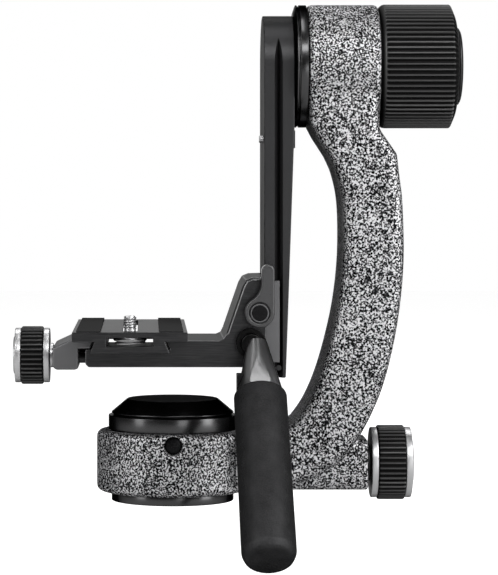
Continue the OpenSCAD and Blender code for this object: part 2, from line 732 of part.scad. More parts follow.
module lever_ring() color("silver")
    from_front(lever_x, lever_recess_y, lever_z) ring(lever_ring_r, lever_button_r, lever_ring_t);

module lever_button() color([0.05, 0.05, 0.05])
    from_front(lever_x, lever_recess_y, lever_z) cylinder(r = lever_button_r, h = lever_button_t);

module clamp_jaw() color([0.14, 0.14, 0.15]) difference() {
    edge = lens_x - dove_w / 2 - gap;
    profile(bracket_half_w) polygon([[jaw_left, jaw_low + 1.6], [jaw_left + 1.6, jaw_low],
        [jaw_x - 1, jaw_low], [jaw_x, jaw_low + 1], [jaw_x, lip_z],
        [edge + dove_slope * (lip_z - floor_z), lip_z], [edge + dove_slope * (lip_top - floor_z), lip_top],
        [jaw_left + jaw_slope_w, lip_top], [jaw_left, floor_z + 0.6]]);
    from_x(jaw_left - 1, clamp_z) cylinder(r = clamp_screw_r + fit, h = clamp_jaw_w + 2);
    for (y = [-guide_y, guide_y]) translate([0, y, 0])
        from_x(jaw_left + guide_in, clamp_z) cylinder(r = guide_r, h = clamp_jaw_w);
}

module guide_rod(y) translate([0, y, 0])
    from_x(jaw_left + guide_in, clamp_z) cylinder(r = guide_r, h = guide_end - jaw_left - guide_in);

module front_guide_rod() color([0.3, 0.3, 0.3]) guide_rod(-guide_y);
module rear_guide_rod() color([0.3, 0.3, 0.3]) guide_rod(guide_y);

module clamp_knob_core() color("silver") translate([clamp_knob_x, 0, clamp_z]) rotate([0, -90, 0]) {
    difference() {
        knob_core(clamp_knob_r - 0.8, clamp_core_r, clamp_knob_w, clamp_knob_ring, knob_dome);
        translate([0, 0, -1]) cylinder(r = clamp_screw_r, h = clamp_knob_w + 1);
    }
    translate([0, 0, gap - clamp_spacer]) ring(clamp_spacer_r, clamp_screw_r, clamp_spacer - gap);
}

module clamp_knob_grip() color([0.07, 0.07, 0.07])
    translate([clamp_knob_x - clamp_knob_ring, 0, clamp_z]) rotate([0, -90, 0])
        rubber_ring(clamp_knob_ribs, clamp_knob_r, 0.7, clamp_core_r, clamp_knob_w, 0.5);

module clamp_screw() color("silver") from_x(clamp_knob_x - clamp_knob_w, clamp_z)
    cylinder(r = clamp_screw_r, h = screw_end - clamp_knob_x + clamp_knob_w);

module lens_plate() color([0.13, 0.13, 0.14]) difference() {
    union() {
        translate([lens_x - lens_w / 2, -lens_len / 2, slab_z]) cube([lens_w, lens_len, slab_t]);
        profile(lens_len / 2) translate([lens_x, floor_z]) polygon([[-dove_w / 2, 0], [dove_w / 2, 0],
            [dove_top_w / 2, dove_h + 0.5], [-dove_top_w / 2, dove_h + 0.5]]);
    }
    translate([lens_x - channel_w / 2, bridge_t - lens_len / 2, floor_z - 1])
        cube([channel_w, lens_len - 2 * bridge_t, channel_top - floor_z + 1]);
    translate([lens_x - channel_w / 2, -lens_len / 2 - 1, window_z])
        cube([channel_w, lens_len + 2, channel_top - window_z]);
    translate([lens_x - slot_r, -slot_half, slab_z - 1]) cube([2 * slot_r, 2 * slot_half, slab_t + 2]);
    for (y = [-slot_half, slot_half])
        translate([lens_x, y, slab_z - 1]) cylinder(r = slot_r, h = slab_t + 2);
}

module pad(side) {
    mid = lens_x + side * (lens_w / 2 - pad_in - pad_w / 2);
    translate([mid - pad_w / 2, pad_in - lens_len / 2, slab_top])
        cube([pad_w, lens_len - 2 * pad_in, pad_t]);
}

module left_pad() color([0.06, 0.06, 0.06]) pad(-1);
module right_pad() color([0.06, 0.06, 0.06]) pad(1);

module screw_washer() color([0.5, 0.5, 0.5]) translate([lens_x, cam_screw_y, washer_z])
    ring(washer_r, cam_screw_r + fit, washer_t);

module camera_screw() color("silver") translate([lens_x, cam_screw_y, head_z]) {
    cylinder(r = head_r, h = head_t);
    cylinder(r = relief_r, h = pad_top - head_z);
    translate([0, 0, pad_top - head_z]) cylinder(r = cam_screw_r, h = cam_screw_up);
}

// Turns what is drawn along +Z to run down the handle from the grip's start
module handle_frame() {
    translate(grip_at) rotate([180 - handle_tilt, -handle_lean, 0]) children();
}

// The neck: a lug on the rosette and a cone with a flat towards the front. Round the lug it stands
// clear of the lever, which it passes when the handle swings up
module neck_body() difference() {
    union() {
        from_front(rosette_x, neck_y, rosette_z) cylinder(r = rosette_r, h = lug_flange);
        from_front(rosette_x, neck_y, rosette_z) round_disc(lug_r, lug_t, 1.2);
        handle_frame() translate([0, 0, -neck_len])
            cylinder(r1 = neck_r1, r2 = collar_r, h = neck_len - collar_t);
        handle_frame() translate([0, 0, -collar_t]) cylinder(r = collar_r, h = collar_t);
    }
    handle_frame() translate([-collar_r - 1, facet_y, 0]) rotate([-facet_tilt, 0, 0])
        translate([0, 0, -neck_len]) cube([2 * collar_r + 2, collar_r, neck_len + 1]);
    translate([0, neck_y, 0]) cube([2 * rosette_x, rosette_t, 2 * rosette_z]);
    from_front(rosette_x, neck_y + 1, rosette_z) ring(neck_room_r, rosette_r, neck_room + 1);
}

module handle_neck() color([0.22, 0.22, 0.23]) difference() {
    neck_body();
    from_front(rosette_x, 0, rosette_z) cylinder(r = handle_stud_r + fit, h = lug_t / 2 + gap - neck_y);
}

// The dark block behind the neck, cut to its cone
module neck_block() color([0.06, 0.06, 0.06]) difference() {
    translate([rosette_x - block_w / 2, neck_y - block_back - block_d, rosette_z - block_drop - block_h])
        cube([block_w, block_d, block_h]);
    neck_body();
    handle_frame() cylinder(r = grip_r + gap, h = grip_len);
}

module handle_tube() color([0.5, 0.5, 0.5]) handle_frame() cylinder(r = tube_r, h = grip_len - tube_short);

module handle_grip() color([0.09, 0.09, 0.09]) handle_frame() difference() {
    rotate_extrude() {
        square([grip_r - grip_round, grip_len]);
        translate([0, 1]) square([grip_r, grip_len - grip_round - 1]);
        translate([grip_r - grip_round, grip_len - grip_round]) circle(r = grip_round);
        square([grip_r - 1, 2]);
        translate([grip_r - 1, 1]) circle(r = 1);
    }
    translate([0, 0, -1]) cylinder(r = tube_r, h = grip_len - tube_short + 1);
}

base_disc();
lower_pan_bearing();
upper_pan_bearing();
pan_nut();
arm_casting();
pan_ring();
pan_cap();
housing_plug();
lock_bush();
brake_shoe();
left_tilt_bearing();
right_tilt_bearing();
pan_knob_core();
pan_knob_grip();
tilt_knob_core();
tilt_knob_grip();
tilt_knob_cap();
tilt_axle();
tilt_hub();
swing_plate();
stop_tab();
lower_stop_screw();
stop_pin();
l_bracket();
front_jaw_strip();
rear_jaw_strip();
lever_stud();
rosette();
lever();
lever_ring();
lever_button();
clamp_jaw();
front_guide_rod();
rear_guide_rod();
clamp_knob_core();
clamp_knob_grip();
clamp_screw();
lens_plate();
left_pad();
right_pad();
screw_washer();
camera_screw();
handle_neck();
neck_block();
handle_tube();
handle_grip();
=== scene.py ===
import math

import bmesh
import bpy
import numpy as np
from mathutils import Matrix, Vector


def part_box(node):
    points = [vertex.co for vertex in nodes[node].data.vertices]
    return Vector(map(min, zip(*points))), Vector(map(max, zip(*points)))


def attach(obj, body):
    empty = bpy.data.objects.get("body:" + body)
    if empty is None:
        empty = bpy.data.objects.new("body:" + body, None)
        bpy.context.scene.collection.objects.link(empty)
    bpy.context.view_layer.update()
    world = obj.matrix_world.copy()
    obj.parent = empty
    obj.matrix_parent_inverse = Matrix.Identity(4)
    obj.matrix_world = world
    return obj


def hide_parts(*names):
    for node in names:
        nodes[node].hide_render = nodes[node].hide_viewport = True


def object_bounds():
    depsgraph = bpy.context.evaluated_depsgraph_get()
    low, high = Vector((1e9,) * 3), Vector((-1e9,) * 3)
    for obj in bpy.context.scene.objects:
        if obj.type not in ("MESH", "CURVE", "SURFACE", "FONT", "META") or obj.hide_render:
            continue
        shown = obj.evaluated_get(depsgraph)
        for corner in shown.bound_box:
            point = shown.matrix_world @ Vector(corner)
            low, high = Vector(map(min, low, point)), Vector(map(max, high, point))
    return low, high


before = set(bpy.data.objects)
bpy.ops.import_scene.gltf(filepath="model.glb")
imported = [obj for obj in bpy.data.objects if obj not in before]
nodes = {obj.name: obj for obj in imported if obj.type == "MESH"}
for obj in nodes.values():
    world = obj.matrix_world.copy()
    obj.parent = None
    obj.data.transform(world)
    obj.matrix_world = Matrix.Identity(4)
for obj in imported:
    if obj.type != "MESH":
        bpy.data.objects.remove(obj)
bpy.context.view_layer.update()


# ---------------------------------------------------------------------------------------------
# Camera. It stands level in front of the head, 1.3 m from the pan axis, looks along +Y from
# above the lens plate, and its frame is shifted to the right and down to take in the arm.
CAMERA_PLACE = (-0.0126, -1.300, 0.156)
FOCAL_PIXELS = 2643
FRAME_HEIGHT = 575
SENSOR = 36.0
SHIFT = (102 / FRAME_HEIGHT, -105.5 / FRAME_HEIGHT)

camera_data = bpy.data.cameras.new("studio_camera")
camera_data.sensor_fit = "VERTICAL"
camera_data.sensor_height = SENSOR
camera_data.lens = SENSOR * FOCAL_PIXELS / FRAME_HEIGHT
camera_data.shift_x, camera_data.shift_y = SHIFT
camera_data.clip_end = 20
camera = bpy.data.objects.new("studio_camera", camera_data)
camera.location = CAMERA_PLACE
camera.rotation_euler = (math.radians(90), 0, 0)
bpy.context.scene.collection.objects.link(camera)
bpy.context.scene.camera = camera


# ---------------------------------------------------------------------------------------------
# Studio. Three soft boxes high in front of the head, the right one strongest, a narrow strip
# straight above, a box high behind that draws the upper edges, a low box on each side and a weak
# one near the camera, in a room that is white behind the head.
bpy.context.scene.view_settings.view_transform = "Standard"
LIGHTS = {  # place, point it looks at, width, height, watts
    "left_box": ((-0.80, -0.65, 0.75), (0.0, 0, 0.10), 0.5, 0.8, 9.0),
    "right_box": ((0.85, -0.70, 0.75), (0.05, 0, 0.12), 0.6, 0.9, 18.5),
    "front_box": ((0.15, -1.15, 0.95), (0.03, 0, 0.10), 0.6, 0.3, 6.0),
    "top_strip": ((0.04, -0.15, 1.15), (0.04, 0, 0.05), 0.10, 0.5, 1.5),
    "edge_box": ((-0.02, 0.60, 1.00), (0.02, 0, 0.10), 0.9, 0.25, 6.0),
    "left_strip": ((-0.92, -0.50, 0.15), (0.0, 0, 0.08), 0.30, 0.5, 2.2),
    "right_strip": ((0.95, -0.45, 0.15), (0.0, 0, 0.08), 0.34, 0.5, 4.0),
    "low_box": ((0.40, -1.20, 0.06), (0.04, 0, 0.08), 0.4, 0.3, 1.6),
}


def soft_box(name, place, target, width, height, watts):
    """A rectangular area light at place that faces target."""
    data = bpy.data.lights.new(name, "AREA")
    data.shape = "RECTANGLE"
    data.size, data.size_y, data.energy = width, height, watts
    lamp = bpy.data.objects.new(name, data)
    lamp.location = place
    lamp.rotation_euler = (Vector(target) - Vector(place)).to_track_quat("-Z", "Y").to_euler()
    bpy.context.scene.collection.objects.link(lamp)


for light_name, light in LIGHTS.items():
    soft_box(light_name, *light)


class Value:
    """A shader socket that is worked with as a number: arithmetic on it adds Math nodes."""

    def __init__(self, shading, socket):
        self.shading, self.socket = shading, socket

    def math(self, operation, other, flip=False):
        a, b = (other, self) if flip else (self, other)
        return self.shading.node("ShaderNodeMath", {"operation": operation}, {0: a, 1: b})

    def __add__(self, other):
        return self.math("ADD", other)

    def __sub__(self, other):
        return self.math("SUBTRACT", other)

    def __rsub__(self, other):
        return self.math("SUBTRACT", other, flip=True)

    def __mul__(self, other):
        return self.math("MULTIPLY", other)

    __radd__, __rmul__ = __add__, __mul__


class Shading:
    """A node tree and the one way in which nodes are added to it."""

    def __init__(self, tree):
        self.tree = tree

    def node(self, kind, settings=None, sockets=None, out=0):
        """Adds a node, makes its settings, then fills its sockets with values or links."""
        made = self.tree.nodes.new(kind)
        for key, value in (settings or {}).items():
            if key == "ramp":
                for n, (stop, colour) in enumerate(value):
                    while len(made.color_ramp.elements) <= n:
                        made.color_ramp.elements.new(1.0)
                    made.color_ramp.elements[n].position = stop
                    made.color_ramp.elements[n].color = (*colour, 1)
            else:
                setattr(made, key, value)
        for key, value in (sockets or {}).items():
            self.fill(made.inputs[key], value)
        return Value(self, made.outputs[out])

    def fill(self, socket, value):
        if isinstance(value, Value):
            self.tree.links.new(value.socket, socket)
        elif value is not None:
            socket.default_value = value


class Finish(Shading):
    """A material under construction: one Principled shader and the nodes that feed it."""

    def __init__(self, name, colour, rough, metal=0.0, **constants):
        self.material = bpy.data.materials.new(name)
        self.material.use_nodes = True
        super().__init__(self.material.node_tree)
        self.shader = next(n for n in self.tree.nodes if n.type == "BSDF_PRINCIPLED")
        self.set(**{"Base Color": (*colour, 1), "Roughness": rough, "Metallic": metal})
        self.set(**{k.replace("_", " "): v for k, v in constants.items()})
        self.place = self.node("ShaderNodeTexCoord", out="Object")

    def set(self, **sockets):
        for key, value in sockets.items():
            self.fill(self.shader.inputs[key], value)

    def noise(self, scale, detail=2.0, rough=0.5, place=None):
        """Noise from 0 to 1; scale is in grains per metre."""
        return self.node("ShaderNodeTexNoise", {}, {"Vector": place or self.place, "Scale": scale,
                         "Detail": detail, "Roughness": rough})

    def bump(self, height, distance, strength):
        """Raises the surface by height times distance, in metres."""
        self.set(Normal=self.node("ShaderNodeBump", {}, {"Height": height, "Distance": distance,
                                  "Strength": strength}))


# The floor: a matt sheet a little below the handle's end. Its glow makes it white to the camera,
# which hides nearly all of the head's shadow, and what shines sees it dimmer.
FLOOR_GAP = 0.002
FLOOR_HALF = 3.0
FLOOR_GLOW = 0.88
FLOOR_SHINE = 0.22
paper = Finish("studio_paper", (0.45, 0.45, 0.45), 0.9)
glow = paper.node("ShaderNodeLightPath", out="Is Camera Ray") * FLOOR_GLOW
mirrored = paper.node("ShaderNodeLightPath", out="Is Glossy Ray") * FLOOR_SHINE
paper.set(**{"Emission Color": (1, 1, 1, 1), "Emission Strength": glow + mirrored})

floor_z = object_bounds()[0][2] - FLOOR_GAP
floor_mesh = bpy.data.meshes.new("studio_floor")
floor_mesh.from_pydata([(-FLOOR_HALF, -FLOOR_HALF, floor_z), (FLOOR_HALF, -FLOOR_HALF, floor_z),
                        (FLOOR_HALF, FLOOR_HALF, floor_z), (-FLOOR_HALF, FLOOR_HALF, floor_z)],
                       [], [(0, 1, 2, 3)])
floor_mesh.materials.append(paper.material)
floor = bpy.data.objects.new("studio_floor", floor_mesh)
bpy.context.scene.collection.objects.link(floor)

# The room: white to the camera and through glass. What shines sees the white wall behind the
# head and the dim half of the room in front of it, and the room's own light is weak.
ROOM_LIGHT = 0.13
ROOM_FRONT = 0.10
WALL_START, WALL_WHITE = 0.3, 0.9  # how far a look turns to the back before the wall shows
world = bpy.data.worlds.new("white_room")
bpy.context.scene.world = world
world.use_nodes = True
room = Shading(world.node_tree)
backdrop = world.node_tree.nodes["Background"]
backdrop.inputs["Color"].default_value = (1, 1, 1, 1)
way = room.node("ShaderNodeSeparateXYZ", {}, {0: room.node("ShaderNodeTexCoord", out="Generated")},
                out="Y")
wall = room.node("ShaderNodeMapRange", {}, {"Value": way, "From Min": WALL_START,
                 "From Max": WALL_WHITE, "To Min": ROOM_FRONT, "To Max": 1.0})
clear = room.node("ShaderNodeLightPath", out="Is Camera Ray").math(
    "MAXIMUM", room.node("ShaderNodeLightPath", out="Is Transmission Ray"))
shine = room.node("ShaderNodeLightPath", out="Is Glossy Ray")
dim = ROOM_LIGHT + shine * (wall - ROOM_LIGHT)
room.fill(backdrop.inputs["Strength"], clear + (1.0 - clear) * dim)


# ---------------------------------------------------------------------------------------------
# The casting: housing, foot, lock block, swept arm and boss in one, cast in aluminium, its
# edges and inside corners soft, under a hammertone powder coat with grains about a millimetre.
CAST_GRID = 0.0009
CAST_SOFTENING = 5
DARK_RIM = (0.0, 0.0, 0.0, 1)
GRAINS, GRAIN_DEPTH = 1180, 0.00022  # per metre, and how deep the coat's grains are, in metres
WOBBLES, WOBBLE = 1100.0, 0.0006  # per metre, and how far the grains' outlines wander, in metres
hammertone = Finish("hammertone_coat", (0.3, 0.3, 0.3), 0.5, 1.0, Specular_Tint=DARK_RIM)
wander = hammertone.node("ShaderNodeTexNoise", {}, {"Vector": hammertone.place, "Scale": WOBBLES,
                         "Detail": 1.0}, out="Color")
warp = hammertone.node("ShaderNodeVectorMath", {"operation": "MULTIPLY_ADD"}, {
    0: wander, 1: (WOBBLE, WOBBLE, WOBBLE), 2: hammertone.place})
grain = hammertone.noise(GRAINS, 1.0, 0.5, warp)
patch = hammertone.noise(40, 2.0)
speckle = hammertone.node("ShaderNodeValToRGB", {"ramp": [
    (0.43, (0.005, 0.005, 0.0055)), (0.51, (0.10, 0.10, 0.103)), (0.60, (0.50, 0.50, 0.51))]},
    {"Fac": grain + (patch - 0.5) * 0.10})
hammertone.set(**{"Base Color": speckle, "Roughness": grain * 0.3 + 0.4})
hammertone.bump(grain, GRAIN_DEPTH, 0.7)


def settle(name, mesh, finish, body, replaced, crease):
    """Makes a mesh a piece: its finish, body, the nodes it stands for and its edges."""
    mesh.materials.clear()
    mesh.materials.append(finish.material)
    mesh.shade_smooth()
    mesh.set_sharp_from_angle(angle=math.radians(crease))
    made = bpy.data.objects.new(name, mesh)
    bpy.context.scene.collection.objects.link(made)
    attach(made, body)
    if replaced:
        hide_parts(*replaced)
    return made


def merged_copy(name, new_name, flat=0.0):
    """A copy of a CAD node with its points merged and, with flat, its flat faces joined."""
    mesh = nodes[name].data.copy()
    mesh.name = new_name
    work = bmesh.new()
    work.from_mesh(mesh)
    bmesh.ops.remove_doubles(work, verts=work.verts, dist=1e-6)
    if flat:
        bmesh.ops.dissolve_limit(work, angle_limit=math.radians(flat), verts=work.verts,
                                 edges=work.edges)
    work.to_mesh(mesh)
    work.free()
    if mesh.has_custom_normals:
        mesh.attributes.remove(mesh.attributes["custom_normal"])
    return mesh


rough_cast = bpy.data.objects.new("arm_casting_rough",
                                  merged_copy("arm_casting", "arm_casting_rough"))
bpy.context.scene.collection.objects.link(rough_cast)
skin = rough_cast.modifiers.new("skin", "REMESH")
skin.mode, skin.voxel_size = "VOXEL", CAST_GRID
soften = rough_cast.modifiers.new("soften", "SMOOTH")
soften.factor, soften.iterations = 0.5, CAST_SOFTENING
bpy.context.view_layer.update()
cast_mesh = bpy.data.meshes.new_from_object(
    rough_cast.evaluated_get(bpy.context.evaluated_depsgraph_get()))
bpy.data.objects.remove(rough_cast)
cast_mesh.name = "arm_casting_shell"
settle("arm_casting_shell", cast_mesh, hammertone, "arm", ["arm_casting"], 60)


# ---------------------------------------------------------------------------------------------
# Turned black parts: base disc with its spindle, ring and cap on the housing and the grooved hub
# beside the boss. Aluminium, anodised black with a gloss, satin on the cap's flat top, and every
# edge broken.
MM = 0.001
ARC_POINTS = 4
LONGEST_CUT = 0.45  # the share of a side that the arc at its end may take


def eased(outline, ease):
    """A closed outline whose corners are quadratic arcs, ease long on each side of the corner.
    Corners on the axis stay as they are."""
    corner = np.array(outline, float)
    arms = [np.roll(corner, 1, 0) - corner, np.roll(corner, -1, 0) - corner]
    long = [np.linalg.norm(a, axis=1, keepdims=True) for a in arms]
    cut = np.minimum(ease, LONGEST_CUT * np.minimum(*long)) * (corner[:, :1] > 1e-6)
    start, end = [corner + a / n * cut for a, n in zip(arms, long)]
    s = np.linspace(0, 1, ARC_POINTS)[None, :, None]
    curve = ((1 - s) ** 2 * start[:, None] + 2 * s * (1 - s) * corner[:, None]
             + s ** 2 * end[:, None])
    return curve.reshape(-1, 2)


def grid(points):
    """Faces of a grid of points that closes on itself both ways."""
    n, m = points.shape[:2]
    at = np.arange(n * m).reshape(n, m)
    right, down = np.roll(at, -1, 1), np.roll(at, -1, 0)
    faces = np.stack([at, right, np.roll(down, -1, 1), down], -1).reshape(-1, 4)
    return points.reshape(-1, 3), faces


def swept_round(radius, distance, start, along, turns):
    """Places [profile, turn] arrays of radius and distance, in mm, round the axis from start."""
    along = np.array(along, float) / np.linalg.norm(along)
    side = np.cross(along, (0, 1, 0) if abs(along[1]) < 0.9 else (1, 0, 0))
    side /= np.linalg.norm(side)
    up = np.cross(along, side)
    a = np.linspace(0, 2 * np.pi, turns, endpoint=False)
    spoke = np.cos(a)[:, None] * side + np.sin(a)[:, None] * up
    return grid((np.array(start) + distance[..., None] * along + radius[..., None] * spoke) * MM)


def turned(outline, start, along, ease=0.3, turns=128):
    """A solid of revolution: the eased outline of [radius, distance] corners goes round the
    axis."""
    loop = eased(outline, ease)
    flat = np.ones((1, turns))
    return swept_round(loop[:, :1] * flat, loop[:, 1:] * flat, start, along, turns)


def piece(name, forms, finish, body, slot, *replaced, crease=32):
    """Joins forms into one piece, with its doubles merged and its faces pointing outwards."""
    points = np.concatenate([f[0] for f in forms])
    offset = np.cumsum([0] + [len(f[0]) for f in forms[:-1]])
    faces = np.concatenate([f[1] + o for f, o in zip(forms, offset)])
    mesh = bpy.data.meshes.new(name)
    mesh.from_pydata(points.tolist(), [], faces.tolist())
    work = bmesh.new()
    work.from_mesh(mesh)
    bmesh.ops.remove_doubles(work, verts=work.verts, dist=1e-7)
    bmesh.ops.recalc_face_normals(work, faces=work.faces)
    work.to_mesh(mesh)
    work.free()
    return settle(name, mesh, finish, body, replaced, crease)


UP, RIGHT, LEFT = (0, 0, 1), (1, 0, 0), (-1, 0, 0)
RING_Z = 34.7
CAP_Z = 41.9
CAP_TOP = 0.0496  # in metres; the cap is rough above this height
TILT_Z = 212.8
HUB_X = 58.7
FINE_TURNS = 160
gloss = Finish("gloss_anodised", (0.055, 0.055, 0.056), 0.24, 1.0, Specular_Tint=DARK_RIM)
gloss.set(Roughness=gloss.noise(60, 2.0) * 0.10 + 0.18)
satin = Finish("cap_anodised", (0.040, 0.040, 0.041), 0.24, 1.0, Specular_Tint=DARK_RIM)
height = satin.node("ShaderNodeSeparateXYZ", {}, {0: satin.place}, out="Z")
satin.set(Roughness=satin.noise(60, 2.0) * 0.10 + 0.18 + height.math("GREATER_THAN", CAP_TOP) * 0.4)
piece("base_plate", [turned([(0, 12), (3.97, 12), (3.97, 0), (30, 0), (30, 4.4), (12, 4.4),
      (12, 37.5), (0, 37.5)], (0, 0, 0), UP, 0.5, FINE_TURNS)], gloss, "base", "black_anodised",
      "base_disc")
piece("cover_ring", [turned([(23, 0), (31.5, 0), (31.5, 7.2), (23, 7.2)], (0, 0, RING_Z), UP, 0.4,
      FINE_TURNS)], gloss, "arm", "black_anodised", "pan_ring")
piece("cover_cap", [turned([(0, 3), (23, 3), (23, 0), (29.2, 0), (29.2, 0.6), (30, 0.9), (30, 1.4),
      (23.2, 7.1), (22.2, 7.9), (0, 7.9)], (0, 0, CAP_Z), UP, 0.5, FINE_TURNS)], satin, "arm",
      "black_anodised", "pan_cap")
piece("hub_disc", [turned([(10, 0), (26.1, 0), (29.1, 1), (30.1, 1.4), (30.1, 2), (29.3, 2.3),
      (29.3, 2.7), (30.1, 3.0), (30.1, 6.6), (10, 6.6)], (HUB_X, 0, TILT_Z), RIGHT, 0.3,
      FINE_TURNS)], gloss, "cradle", "black_anodised", "tilt_hub")


# ---------------------------------------------------------------------------------------------
# Milled black parts: swing plate with its tab, lens plate, lock bush and bracket. Anodised
# aluminium with broken edges. The lens plate and the bracket are brushed along X, and the
# bracket's bevels are a lighter grey, a painted highlight. The tilt knob's core and the small rods
# are anodised too.
JOINED_FLAT = 0.4  # faces that meet at less than this many degrees are one flat face
DULL_RIM = (0.05, 0.05, 0.05, 1)
anodised = Finish("black_anodised", (0.035, 0.035, 0.036), 0.36, 0.85, Specular_Tint=DULL_RIM,
                  Specular_IOR_Level=0.15)
fine = anodised.noise(5200, 2.0)
cloud = anodised.noise(60, 2.0)
anodised.set(Roughness=fine * 0.14 + cloud * 0.10 + 0.28)
anodised.bump(fine, 0.00003, 0.5)


def milled(name, finish, body, width, crease=30, rows=2, crisp=None, mesh=None, edge=None,
           flat=None):
    """The CAD node's own shape with its edges bevelled, width in mm. Edges whose middle lies
    between the two X values of crisp, in mm, stay sharp. The bevels can have a finish of their
    own, edge, and faces that meet at more than flat degrees aren't blended."""
    mesh = mesh or merged_copy(name, name + "_milled", JOINED_FLAT)
    made = settle(name + "_milled", mesh, finish, body, [name], flat or crease)
    bevel = made.modifiers.new("broken_edges", "BEVEL")
    bevel.width, bevel.segments = width * MM, rows
    bevel.limit_method, bevel.angle_limit = "ANGLE", math.radians(crease)
    bevel.use_clamp_overlap = False
    bevel.harden_normals = True
    if edge:
        mesh.materials.append(edge.material)
        bevel.material = 1
    if crisp:
        work = bmesh.new()
        work.from_mesh(mesh)
        weight = work.edges.layers.float.new("bevel_weight_edge")
        for side in work.edges:
            middle = (side.verts[0].co.x + side.verts[1].co.x) / 2 / MM
            bent = len(side.link_faces) == 2 and side.calc_face_angle() > math.radians(crease)
            side[weight] = float(bent and not crisp[0] < middle < crisp[1])
        work.to_mesh(mesh)
        work.free()
        bevel.limit_method = "WEIGHT"
    return made


def brushed(name, rim):
    """Black with fine lines along X; rim is how much it still mirrors at a low angle."""
    made = Finish(name, (0.034, 0.034, 0.035), 0.36, 0.9, Specular_IOR_Level=0.15,
                  Specular_Tint=(rim, rim, rim, 1))
    along_x = made.node("ShaderNodeMapping", {}, {"Vector": made.place, "Scale": (0.03, 1, 1)})
    lines = made.noise(2600, 3.0, 0.6, along_x)
    colour = made.node("ShaderNodeValToRGB", {"ramp": [
        (0.3, (0.022, 0.022, 0.023)), (0.7, (0.048, 0.048, 0.049))]}, {"Fac": lines})
    made.set(**{"Base Color": colour, "Roughness": lines * 0.24 + 0.22})
    made.bump(lines, 0.00003, 0.6)
    return made


brushed_plate = brushed("brushed_plate", 0.40)
brushed_bracket = brushed("brushed_bracket", 0.12)
# Painted highlight: a lighter grey on the bracket's bevels, in place of the light they would catch.
edge_highlight = Finish("painted_edge_highlight", (0.13, 0.13, 0.132), 0.3, 0.95, Specular_Tint=(0.4, 0.4, 0.4, 1))
edge_highlight.set(Roughness=edge_highlight.noise(900, 2.0) * 0.2 + 0.26)

GROOVE_X = (45, 53.6)  # the swing plate's groove lies between these, and keeps sharp edges
milled("swing_plate", anodised, "cradle", 0.5, crisp=GROOVE_X)
milled("stop_tab", anodised, "cradle", 0.2)

# The lens plate's window, through which the screw's head is seen, is drawn a little taller than
# in the CAD, where it ends just above the washer.
WINDOW_TALL = 3.1
WINDOW_ABOVE_WASHER = 0.1
WINDOW_DROP, WINDOW_RISE = 0.9, 0.2
SAME_HEIGHT = 0.05
window_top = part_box("screw_washer")[1][2] / MM + WINDOW_ABOVE_WASHER
lens_mesh = merged_copy("lens_plate", "lens_plate_milled", JOINED_FLAT)
for vertex in lens_mesh.vertices:
    if abs(vertex.co.z / MM - (window_top - WINDOW_TALL)) < SAME_HEIGHT:
        vertex.co.z -= WINDOW_DROP * MM
    if abs(vertex.co.z / MM - window_top) < SAME_HEIGHT:
        vertex.co.z += WINDOW_RISE * MM
milled("lens_plate", brushed_plate, "plate", 0.35, mesh=lens_mesh)
milled("lock_bush", anodised, "arm", 0.35)


def dress(finish, *names):
    """Gives CAD nodes a finish."""
    for name in names:
        mesh = nodes[name].data
        mesh.materials.clear()
        mesh.materials.append(finish.material)


dress(anodised, "tilt_knob_core", "lower_stop_screw", "front_guide_rod", "rear_guide_rod")

# The bracket: its lobe's slanted edge and round top carry a wide bevel at the front and back.
LOBE_BEVEL = 1.1
LOBE_HALF = 30  # from the middle to the front or back face
LOBE_LOW, LOBE_HIGH = 81.0, 107
LOBE_RIGHT, LOBE_END = 44, 44.6  # for an edge's middle and for its ends
UPRIGHT_X = 40
LEVEL_RISE = 4
TINY = 0.3
SAME_PLACE = 0.01
CORNER_ANGLE = 1.0  # in radians
STUD_HOLE, HOLE_REACH = (41.3, 93.4), 3


def on_lobe(edge):
    """Whether an edge is on the lobe's outline in the front or back face. Left out are tiny
    edges, the hole's, the upright ones at the right and, above LOBE_HIGH, the steep ones."""
    a, b = [np.array(end.co / MM, float) for end in edge.verts]
    (x, _, z), (run, depth, rise) = (a + b) / 2, abs(a - b)
    in_face = abs(abs(a[1]) - LOBE_HALF) < SAME_PLACE and depth < SAME_PLACE
    in_reach = min(a[2], b[2]) > LOBE_LOW and max(a[0], b[0]) < LOBE_END and x < LOBE_RIGHT
    upright = run < SAME_PLACE and a[0] > UPRIGHT_X
    steep = z >= LOBE_HIGH and rise >= LEVEL_RISE
    on_hole = math.hypot(x - STUD_HOLE[0], z - STUD_HOLE[1]) < HOLE_REACH
    if not (in_face and in_reach) or run + rise <= TINY or upright or steep or on_hole:
        return False
    return len(edge.link_faces) == 2 and edge.calc_face_angle() > CORNER_ANGLE


bracket_mesh = merged_copy("l_bracket", "l_bracket_milled", JOINED_FLAT)
work = bmesh.new()
work.from_mesh(bracket_mesh)
lobe_edges = [edge for edge in work.edges if on_lobe(edge)]
bmesh.ops.bevel(work, geom=lobe_edges, offset=LOBE_BEVEL * MM, offset_type="OFFSET", segments=1,
                affect="EDGES", profile=0.5)
work.to_mesh(bracket_mesh)
work.free()
milled("l_bracket", brushed_bracket, "bracket", 0.35, mesh=bracket_mesh,
       edge=edge_highlight, flat=5)


# ---------------------------------------------------------------------------------------------
# Blasted grey aluminium: the clamp's moving jaw and the two jaw strips that grip the swing
# plate. They are a shade lighter than the black parts.
grey_jaw_and_ring_highlight = Finish("blasted_grey_and_ring_highlight", (0.115, 0.115, 0.118), 0.42, 0.8, Specular_Tint=(0.2, 0.2, 0.2, 1))
pits = grey_jaw_and_ring_highlight.noise(4200, 2.0)
grey_jaw_and_ring_highlight.set(Roughness=pits * 0.2 + 0.34)
grey_jaw_and_ring_highlight.bump(pits, 0.00003, 0.6)
milled("clamp_jaw", grey_jaw_and_ring_highlight, "moving_jaw", 1.0, rows=4)
milled("front_jaw_strip", grey_jaw_and_ring_highlight, "bracket", 0.2)
milled("rear_jaw_strip", grey_jaw_and_ring_highlight, "bracket", 0.2)


